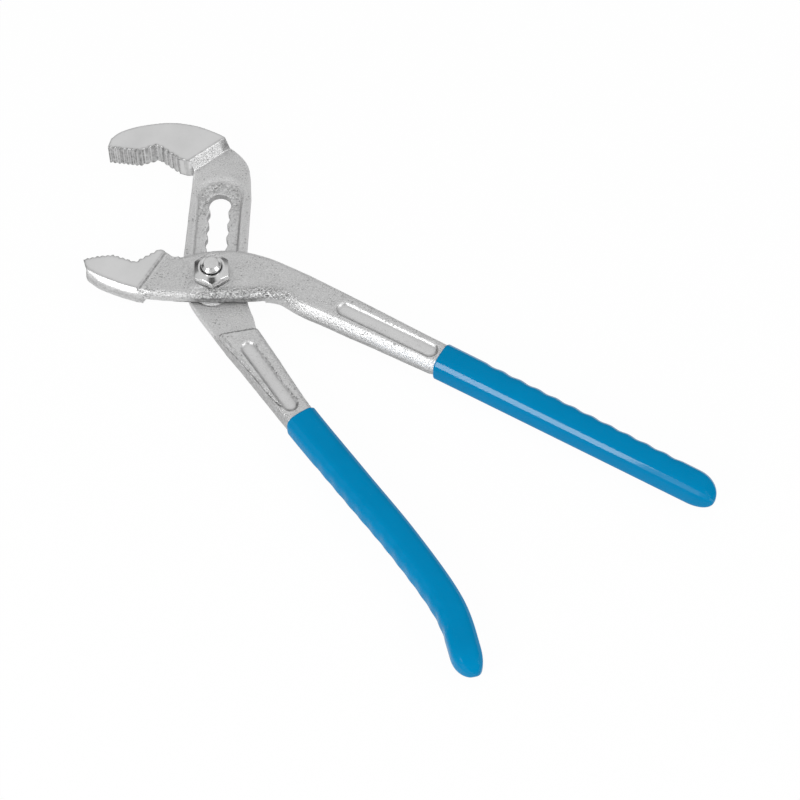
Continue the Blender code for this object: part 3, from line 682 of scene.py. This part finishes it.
def make_grip(name, line, span, rippled, ripple_height, rubbed):
    """A dipped sleeve along an arm: bullet tip, ripples on one edge, rolled mouth, hollow for the tang."""
    path = smooth_run(line)
    reach = np.concatenate([[0], np.cumsum(np.linalg.norm(np.diff(path, axis=0), axis=1))])
    turn = np.unwrap(np.arctan2(*np.gradient(path, axis=0).T[::-1]))
    mouth, end = span[0] - GRIP_OVERLAP, span[1]
    tip_from = end - GRIP_TIP
    around = np.linspace(0, 2 * math.pi, GRIP_SIDES, endpoint=False)
    across = np.sign(np.cos(around)) * np.abs(np.cos(around)) ** (2 / GRIP_SQUARE)
    upward = np.sign(np.sin(around)) * np.abs(np.sin(around)) ** (2 / GRIP_SQUARE)
    first, last = mouth + RIPPLE_FROM, end - RIPPLE_END
    last = first + math.floor((last - first) / RIPPLE_PITCH) * RIPPLE_PITCH
    rippling = ease(0.15, 0.85, across * rippled) * (0.3 + 0.7 * ease(-0.9, -0.2, upward))
    beyond_flat = np.maximum(np.abs(across) + np.abs(upward) - GRIP_FLAT, 0) / 2
    across -= np.sign(across) * beyond_flat
    upward -= np.sign(upward) * beyond_flat
    polish = rubbed * ease(0.0, POLISH_EDGE, beyond_flat)

    def ring(distance, half, half_thick, dip=0.0, swing=0.0):
        centre = np.array([np.interp(distance, reach, path[:, axis]) for axis in range(2)])
        beyond = max(0.0, distance - reach[-1])
        angle = np.interp(distance, reach, turn)
        forward = np.array([math.cos(angle), math.sin(angle)])
        left = np.array([-forward[1], forward[0]])
        offset = across * half - rippled * (dip * rippling + swing)
        flat = centre + forward * beyond + offset[:, None] * left
        return np.column_stack([flat, GRIP_MIDDLE + upward * half_thick])

    def half_at(distance):
        return GRIP_HALF - GRIP_TAPER * (distance - mouth) / (tip_from - mouth)

    rings = []
    for share in np.linspace(0.02, 1, TIP_RINGS):
        angle = share * math.pi / 2
        distance = tip_from + GRIP_TIP * math.cos(angle)
        bulge = math.sin(angle) ** TIP_BULGE
        swing = GRIP_TIP_SWING * (1 - math.sin(angle))
        rings.append(ring(distance, half_at(tip_from) * bulge, GRIP_HALF_THICK * bulge, swing=swing))
    body = np.linspace(tip_from, mouth + GRIP_LIP, round((tip_from - mouth) / GRIP_STEP))[1:]
    for distance in body:
        wave = (1 - math.cos(2 * math.pi * (distance - first) / RIPPLE_PITCH)) / 2
        dip = ripple_height * wave if first <= distance <= last else 0.0
        rings.append(ring(distance, half_at(distance), GRIP_HALF_THICK, dip))
    for angle in np.linspace(0, math.pi / 2, LIP_RINGS)[1:]:
        inset = GRIP_LIP * (1 - math.cos(angle))
        distance = mouth + GRIP_LIP * (1 - math.sin(angle))
        rings.append(ring(distance, GRIP_HALF - inset, GRIP_HALF_THICK - inset))
    for distance in (mouth + 0.1, span[0] + 0.2):
        rings.append(ring(distance, ARM_HALF, ARM_HALF_THICK))
    for distance in np.linspace(span[0] + 0.4, end - TANG_SHORT, HOLLOW_RINGS):
        rings.append(ring(distance, TANG_HALF, TANG_HALF_THICK))
    grip = loft(name, rings)
    layer = grip.data.attributes.new("polish", "FLOAT", "POINT")
    shares = np.concatenate([[0], np.tile(polish, len(rings)), [0]])
    layer.data.foreach_set("value", shares.astype(np.float32))
    return grip


def round_ring(radius, height):
    """A ring about the pivot; its radius and its height may vary around it."""
    angles = np.linspace(0, 2 * math.pi, ROUND_STEPS, endpoint=False)
    heights = np.broadcast_to(height, ROUND_STEPS)
    return np.column_stack([radius * np.cos(angles), radius * np.sin(angles), heights])


def tube(name, rings):
    """A ring-shaped skin: the last ring joins the first."""
    count, total = len(rings[0]), len(rings)
    faces = []
    for ring in range(total):
        low, high = ring * count, (ring + 1) % total * count
        for side in range(count):
            following = (side + 1) % count
            faces.append((low + side, high + side, high + following, low + following))
    return new_mesh_object(name, np.vstack(rings), faces)


def make_nut():
    """A hexagon nut whose top is turned to a wide cone."""
    angles = np.linspace(0, 2 * math.pi, ROUND_STEPS, endpoint=False)
    off_flat = (angles - NUT_TURN + math.pi / 2) % (math.pi / 3) - math.pi / 6
    flat = NUT_ACROSS_FLATS / 2
    hexagon = flat / np.cos(off_flat)

    def crown(radius):
        return NUT_TOP - NUT_CROWN_SLOPE * (radius - NUT_FACE_RADIUS)

    foot = NUT_LOW + NUT_FOOT_SLOPE * (hexagon - flat)
    collar = NUT_FACE_RADIUS + NUT_EDGE
    inner = hexagon - NUT_EDGE
    mouth = NUT_BORE + NUT_BORE_CHAMFER
    profile = [(NUT_BORE, NUT_TOP - 0.5), (mouth, NUT_TOP - 0.03)]
    profile += [(NUT_FACE_RADIUS - NUT_EDGE, NUT_TOP), (collar, crown(collar))]
    for share in np.linspace(0.1, 0.9, 8):
        radius = NUT_FACE_RADIUS + share * (hexagon - NUT_FACE_RADIUS)
        profile.append((radius, crown(radius)))
    profile += [(inner, crown(inner)), (hexagon, crown(hexagon) - NUT_EDGE)]
    profile += [(hexagon, foot + NUT_EDGE), (inner, foot), (flat - 0.3, NUT_LOW)]
    profile += [(mouth, NUT_LOW), (NUT_BORE, NUT_LOW + 0.4)]
    rings = [round_ring(radius, height) for radius, height in profile]
    return tube("hex_nut_bright", rings)


def make_bolt():
    """The bolt: flat end with a wide chamfer, rolled thread, plain shank and a flat round head."""
    start = BOLT_TOP - (BOLT_RADIUS - BOLT_FLAT_RADIUS)
    root = BOLT_RADIUS - BOLT_THREAD_DEPTH
    profile = [(BOLT_CORE, BOLT_TOP)]
    profile += [(BOLT_FLAT_RADIUS - 0.25, BOLT_TOP), (BOLT_FLAT_RADIUS - 0.1, BOLT_TOP)]
    profile += [(BOLT_FLAT_RADIUS + 0.06, BOLT_TOP - 0.1), (BOLT_FLAT_RADIUS + 0.2, BOLT_TOP - 0.24)]
    profile += [(BOLT_RADIUS - 0.2, start + 0.2), (BOLT_RADIUS - 0.06, start + 0.06)]
    profile += [(BOLT_RADIUS, start - 0.06)]
    height = NUT_TOP - 0.2
    while height > NUT_LOW + 1.5:
        profile += [(BOLT_RADIUS, height - 0.2), (root, height - 0.55)]
        profile += [(root, height - 0.7), (BOLT_RADIUS, height - 1.05)]
        height -= BOLT_THREAD
    profile += [(BOLT_RADIUS - 0.05, height - 0.3), (SHANK_RADIUS, height - 0.8), (SHANK_RADIUS, HEAD_TOP)]
    profile += [(HEAD_RADIUS - 0.3, HEAD_TOP), (HEAD_RADIUS, HEAD_TOP - 0.3), (HEAD_RADIUS, 0.5)]
    profile += [(HEAD_RADIUS - 0.15, 0.2), (HEAD_RADIUS - 0.5, 0.0), (BOLT_CORE, 0.0)]
    return loft("pivot_bolt_bright", [round_ring(radius, place) for radius, place in profile])


class Shader:
    """Builds a material's nodes in a few words."""

    def __init__(self, name):
        self.material = bpy.data.materials.new(name)
        self.material.use_nodes = True
        self.tree = self.material.node_tree
        self.surface = self.tree.nodes["Principled BSDF"]
        self.place = self.add("ShaderNodeTexCoord").outputs["Object"]

    def add(self, kind, **settings):
        node = self.tree.nodes.new(kind)
        for key, value in settings.items():
            setattr(node, key, value)
        return node

    def link(self, output, target):
        self.tree.links.new(output, target)

    def set(self, name, value):
        self.surface.inputs[name].default_value = value

    def feed(self, name, output):
        self.link(output, self.surface.inputs[name])

    def noise(self, size, detail=4.0, roughness=0.55, stretch=None):
        """Noise with features of about the given size in millimetres."""
        node = self.add("ShaderNodeTexNoise")
        node.inputs["Scale"].default_value = 1 / (size * MM)
        node.inputs["Detail"].default_value = detail
        node.inputs["Roughness"].default_value = roughness
        place = self.place
        if stretch:
            mapping = self.add("ShaderNodeMapping")
            mapping.inputs["Scale"].default_value = stretch
            self.link(place, mapping.inputs["Vector"])
            place = mapping.outputs["Vector"]
        self.link(place, node.inputs["Vector"])
        return node.outputs["Fac"]

    def mask(self, name):
        return self.add("ShaderNodeAttribute", attribute_name=name).outputs["Fac"]

    def ramp(self, value, low, high, to_low=0.0, to_high=1.0):
        node = self.add("ShaderNodeMapRange")
        for key, number in zip(("From Min", "From Max", "To Min", "To Max"), (low, high, to_low, to_high)):
            node.inputs[key].default_value = number
        self.link(value, node.inputs["Value"])
        return node.outputs["Result"]

    def math(self, operation, first, second):
        node = self.add("ShaderNodeMath", operation=operation)
        for socket, value in zip(node.inputs, (first, second)):
            if isinstance(value, (int, float)):
                socket.default_value = value
            else:
                self.link(value, socket)
        return node.outputs["Value"]

    def mix(self, share, first, second):
        """Mixes two colours, each a tuple or another node's output."""
        node = self.add("ShaderNodeMix", data_type="RGBA")
        self.link(share, node.inputs["Factor"])
        for socket, value in ((node.inputs[6], first), (node.inputs[7], second)):
            if isinstance(value, tuple):
                socket.default_value = (*value, 1.0)
            else:
                self.link(value, socket)
        return node.outputs[2]

    def bump(self, height, depth, below=None):
        """Bumps of the given depth in millimetres."""
        node = self.add("ShaderNodeBump")
        node.inputs["Distance"].default_value = depth * MM
        self.link(height, node.inputs["Height"])
        if below:
            self.link(below, node.inputs["Normal"])
        return node.outputs["Normal"]


def grey(level):
    return level, level, level


def forged_steel():
    """Plated forging: pitted and grainy on the body, finely ground on the jaws, with painted shade in
    creases and hollows and painted highlights on edges.
    """
    shader = Shader("plated_forging")
    shader.set("Metallic", 1.0)
    ground, flash = shader.mask("ground"), shader.mask("flash")
    cloud = shader.ramp(shader.noise(14.0, 3.0), 0.35, 0.65)
    grain = shader.ramp(shader.noise(0.5, 3.0, 0.6), 0.30, 0.70)
    patch = shader.ramp(shader.noise(5.0, 2.0), 0.42, 0.62)
    speck = shader.ramp(shader.noise(0.62, 2.0, 0.5), 0.60, 0.68)
    speck = shader.math("MULTIPLY", speck, shader.math("MAXIMUM", patch, flash))
    body = shader.mix(grain, grey(0.56), grey(0.78))
    body = shader.mix(shader.math("MULTIPLY", cloud, 0.3), body, grey(0.75))
    sparkle = shader.ramp(shader.noise(0.8, 2.0, 0.6), 0.42, 0.60)
    trimmed = shader.mix(sparkle, grey(0.22), grey(0.90))
    body = shader.mix(shader.math("MULTIPLY", flash, 0.75), body, trimmed)
    lapped = shader.mix(cloud, grey(0.71), grey(0.76))
    surface = shader.mix(ground, body, lapped)
    # Painted highlight: the colour is lightened towards near white by its mask.
    surface = shader.mix(shader.math("MULTIPLY", shader.mask("shine"), 0.8), surface, grey(0.93))
    # Real pits and painted shade darken the colour, broken up by noise.
    pits_and_shade = shader.math("MAXIMUM", shader.mask("pits"), shader.mask("crevice"))
    broken = shader.ramp(shader.noise(1.3, 3.0), 0.30, 0.62, 0.35, 1.0)
    pits_and_shade = shader.math("MULTIPLY", pits_and_shade, broken)
    spots = shader.math("MULTIPLY", speck, shader.ramp(ground, 0.0, 1.0, 0.7, 0.05))
    shader.feed("Base Color", shader.mix(shader.math("MAXIMUM", pits_and_shade, spots), surface, grey(0.13)))
    lines = shader.noise(0.25, 3.0, 0.6, (1.0, 0.06, 1.0))
    spread = shader.add("ShaderNodeMix", data_type="FLOAT")
    shader.link(ground, spread.inputs["Factor"])
    shader.link(shader.ramp(grain, 0.0, 1.0, 0.48, 0.36), spread.inputs[2])
    shader.link(shader.ramp(lines, 0.3, 0.7, 0.30, 0.38), spread.inputs[3])
    shader.feed("Roughness", spread.outputs[0])
    height = shader.math("MULTIPLY", grain, shader.ramp(ground, 0.0, 1.0, 1.0, 0.08))
    height = shader.math("SUBTRACT", height, shader.math("MULTIPLY", spots, 1.5))
    glints = shader.math("MULTIPLY", shader.math("MULTIPLY", sparkle, flash), 2.5)
    height = shader.math("ADD", height, glints)
    shader.feed("Normal", shader.bump(height, 0.10))
    return shader.material


def bright_steel():
    """Bright plating with a faint ripple and hairline scratches."""
    shader = Shader("bright_plating")
    shader.set("Metallic", 1.0)
    cloud = shader.ramp(shader.noise(3.0, 4.0), 0.35, 0.7)
    scratch = shader.ramp(shader.noise(0.3, 4.0, 0.7, (1.0, 0.08, 1.0)), 0.58, 0.70)
    shader.feed("Base Color", shader.mix(cloud, grey(0.66), grey(0.75)))
    gloss = shader.ramp(cloud, 0.0, 1.0, 0.13, 0.20)
    shader.feed("Roughness", shader.math("ADD", gloss, shader.math("MULTIPLY", scratch, 0.1)))
    height = shader.math("ADD", shader.noise(1.8, 2.0), shader.math("MULTIPLY", scratch, 0.15))
    shader.feed("Normal", shader.bump(height, 0.012))
    return shader.material


def zinc_washer():
    """Zinc-plated washer, rubbed by the levers."""
    shader = Shader("zinc_plating")
    shader.set("Metallic", 1.0)
    spangle = shader.ramp(shader.noise(2.0, 3.0), 0.3, 0.7)
    rubbed = shader.ramp(shader.noise(0.4, 4.0, 0.6), 0.4, 0.7)
    shader.feed("Base Color", shader.mix(spangle, (0.50, 0.52, 0.53), (0.66, 0.67, 0.68)))
    shader.feed("Roughness", shader.ramp(rubbed, 0.0, 1.0, 0.28, 0.46))
    shader.feed("Normal", shader.bump(rubbed, 0.02))
    return shader.material


def blue_vinyl():
    """Dipped vinyl with a soft sag, faint dust and small scuffs, rubbed to a gloss along its edges."""
    shader = Shader("dipped_vinyl")
    cloud = shader.ramp(shader.noise(20.0, 3.0), 0.3, 0.7)
    dust = shader.ramp(shader.noise(0.9, 2.0, 0.6), 0.72, 0.80)
    base = shader.mix(cloud, (0.0, 0.20, 0.415), (0.0, 0.215, 0.445))
    shader.feed("Base Color", shader.mix(shader.math("MULTIPLY", dust, 0.2), base, (0.10, 0.36, 0.58)))
    gloss = shader.ramp(cloud, 0.0, 1.0, 0.07, 0.10)
    shader.feed("Roughness", shader.math("ADD", gloss, shader.math("MULTIPLY", dust, 0.15)))
    sag = shader.bump(shader.noise(11.0, 2.0), 0.03)
    shader.feed("Normal", shader.bump(shader.noise(0.8, 2.0), 0.0015, sag))
    shader.set("Specular IOR Level", 0.03)
    shader.set("Coat Roughness", 0.07)
    shader.feed("Coat Weight", shader.ramp(shader.mask("polish"), 0.0, 1.0, 0.0, 0.6))
    return shader.material


def dress(obj, material, body, node):
    """Gives a new piece its material and its body, and hides the solid it stands for."""
    obj.data.materials.clear()
    obj.data.materials.append(material)
    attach(obj, body)
    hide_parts(node)


def make_floor():
    """A pale floor that is white to the camera and keeps a trace of the tool's shadow."""
    corners = [(-FLOOR_HALF, -FLOOR_HALF, 0), (FLOOR_HALF, -FLOOR_HALF, 0),
               (FLOOR_HALF, FLOOR_HALF, 0), (-FLOOR_HALF, FLOOR_HALF, 0)]
    floor = new_mesh_object("floor", corners, [(0, 1, 2, 3)])
    floor.location.z = cad_box[0].z - 0.0002
    material = bpy.data.materials.new("pale_floor")
    material.use_nodes = True
    tree = material.node_tree
    surface = tree.nodes["Principled BSDF"]
    surface.inputs["Base Color"].default_value = (0.85, 0.85, 0.85, 1.0)
    surface.inputs["Roughness"].default_value = 0.9
    surface.inputs["Specular IOR Level"].default_value = 0.1
    path = tree.nodes.new("ShaderNodeLightPath")
    share = tree.nodes.new("ShaderNodeMath")
    share.operation = "MULTIPLY_ADD"
    share.inputs[1].default_value = FLOOR_WHITE
    tree.links.new(path.outputs["Is Camera Ray"], share.inputs[0])
    mirrored = tree.nodes.new("ShaderNodeMath")
    mirrored.operation = "MAXIMUM"
    tree.links.new(path.outputs["Is Glossy Ray"], mirrored.inputs[0])
    tree.links.new(path.outputs["Is Transmission Ray"], mirrored.inputs[1])
    paler = tree.nodes.new("ShaderNodeMath")
    paler.operation = "MULTIPLY"
    paler.inputs[1].default_value = FLOOR_MIRRORED
    tree.links.new(mirrored.outputs["Value"], paler.inputs[0])
    tree.links.new(paler.outputs["Value"], share.inputs[2])
    glow = tree.nodes.new("ShaderNodeEmission")
    glow.inputs["Strength"].default_value = 1.0
    blend = tree.nodes.new("ShaderNodeMixShader")
    tree.links.new(share.outputs["Value"], blend.inputs["Fac"])
    tree.links.new(surface.outputs["BSDF"], blend.inputs[1])
    tree.links.new(glow.outputs["Emission"], blend.inputs[2])
    tree.links.new(blend.outputs["Shader"], tree.nodes["Material Output"].inputs["Surface"])
    floor.data.materials.append(material)


def make_light(name, direction, distance, size, power):
    """A soft rectangular lamp aimed at the tool's middle; its second size runs up and down."""
    middle = (cad_box[0] + cad_box[1]) / 2
    lamp = bpy.data.lights.new(name, "AREA")
    lamp.shape = "RECTANGLE"
    lamp.size, lamp.size_y = size
    lamp.energy = power
    obj = bpy.data.objects.new(name, lamp)
    away = Vector(direction).normalized()
    obj.location = middle + away * distance
    obj.rotation_euler = away.to_track_quat("Z", "Y").to_euler()
    bpy.context.scene.collection.objects.link(obj)


def view_axes():
    """Right, up and back of the camera."""
    flat = math.cos(VIEW_ELEVATION)
    back = Vector((math.sin(VIEW_AZIMUTH) * flat, -math.cos(VIEW_AZIMUTH) * flat, math.sin(VIEW_ELEVATION)))
    right = Vector((math.cos(VIEW_AZIMUTH), math.sin(VIEW_AZIMUTH), 0.0))
    return right, back.cross(right), back


def make_lighting():
    """A pale room with soft boxes, dim near the floor and in two spots, and white to the camera."""
    world = bpy.data.worlds.new("studio")
    bpy.context.scene.world = world
    world.use_nodes = True
    tree = world.node_tree
    background = tree.nodes["Background"]
    direction = tree.nodes.new("ShaderNodeTexCoord").outputs["Generated"]
    parts = tree.nodes.new("ShaderNodeSeparateXYZ")
    tree.links.new(direction, parts.inputs["Vector"])

    def ramp(value, settings):
        node = tree.nodes.new("ShaderNodeMapRange")
        node.interpolation_type = "SMOOTHSTEP"
        for key, number in zip(("From Min", "From Max", "To Min", "To Max"), settings):
            node.inputs[key].default_value = number
        tree.links.new(value, node.inputs["Value"])
        return node.outputs["Result"]

    level = ramp(parts.outputs["Z"], ROOM_LEVEL)
    for spot, start, full, left_over in DIM_SPOTS:
        towards = tree.nodes.new("ShaderNodeVectorMath")
        towards.operation = "DOT_PRODUCT"
        towards.inputs[1].default_value = spot
        tree.links.new(direction, towards.inputs[0])
        dimmed = tree.nodes.new("ShaderNodeMath")
        dimmed.operation = "MULTIPLY"
        tree.links.new(level, dimmed.inputs[0])
        tree.links.new(ramp(towards.outputs["Value"], (start, full, 1.0, left_over)), dimmed.inputs[1])
        level = dimmed.outputs["Value"]
    white = tree.nodes.new("ShaderNodeMath")
    white.operation = "MAXIMUM"
    tree.links.new(level, white.inputs[0])
    tree.links.new(tree.nodes.new("ShaderNodeLightPath").outputs["Is Camera Ray"], white.inputs[1])
    tree.links.new(white.outputs["Value"], background.inputs["Strength"])
    background.inputs["Color"].default_value = (1.0, 1.0, 1.0, 1.0)
    for box in SOFT_BOXES:
        make_light(*box)


def make_camera():
    """The photograph's camera, placed so that the pivot's axis at the front face lands on its pixel."""
    right, up, back = view_axes()
    half = IMAGE_SIZE / 2
    sideways = (PIVOT_PIXEL[0] - half) / FOCAL_PIXELS
    upwards = (half - PIVOT_PIXEL[1]) / FOCAL_PIXELS
    pivot = Vector((0.0, 0.0, Z_FRONT))
    place = pivot - VIEW_DEPTH * (sideways * right + upwards * up - back)
    camera = bpy.data.cameras.new("camera")
    camera.sensor_width = SENSOR_WIDTH
    camera.lens = SENSOR_WIDTH * FOCAL_PIXELS / IMAGE_SIZE
    camera.clip_start = 0.01
    obj = bpy.data.objects.new("camera", camera)
    turn = Matrix((right, up, back)).transposed()
    obj.matrix_world = Matrix.Translation(place * MM) @ turn.to_4x4()
    bpy.context.scene.collection.objects.link(obj)
    bpy.context.scene.camera = obj


def main():
    forged, bright, vinyl = forged_steel(), bright_steel(), blue_vinyl()
    dress(make_slotted_skin(), forged, "slotted_side", "slotted_lever")
    dress(make_front_skin(), forged, "front_side", "front_lever")
    lower = make_grip("lower_grip_dipped", SLOTTED_LINE, SLOTTED_GRIP, -1, LOWER_RIPPLE, LOWER_POLISH)
    dress(lower, vinyl, "slotted_side", "lower_grip")
    upper = make_grip("upper_grip_dipped", FRONT_LINE, FRONT_GRIP, 1, UPPER_RIPPLE, UPPER_POLISH)
    dress(upper, vinyl, "front_side", "upper_grip")
    dress(make_bolt(), bright, "front_side", "pivot_bolt")
    dress(make_nut(), bright, "front_side", "hex_nut")
    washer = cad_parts["friction_washer"]
    washer.data.materials.clear()
    washer.data.materials.append(zinc_washer())
    make_floor()
    make_lighting()
    make_camera()
    bpy.context.scene.view_settings.view_transform = "Standard"


main()
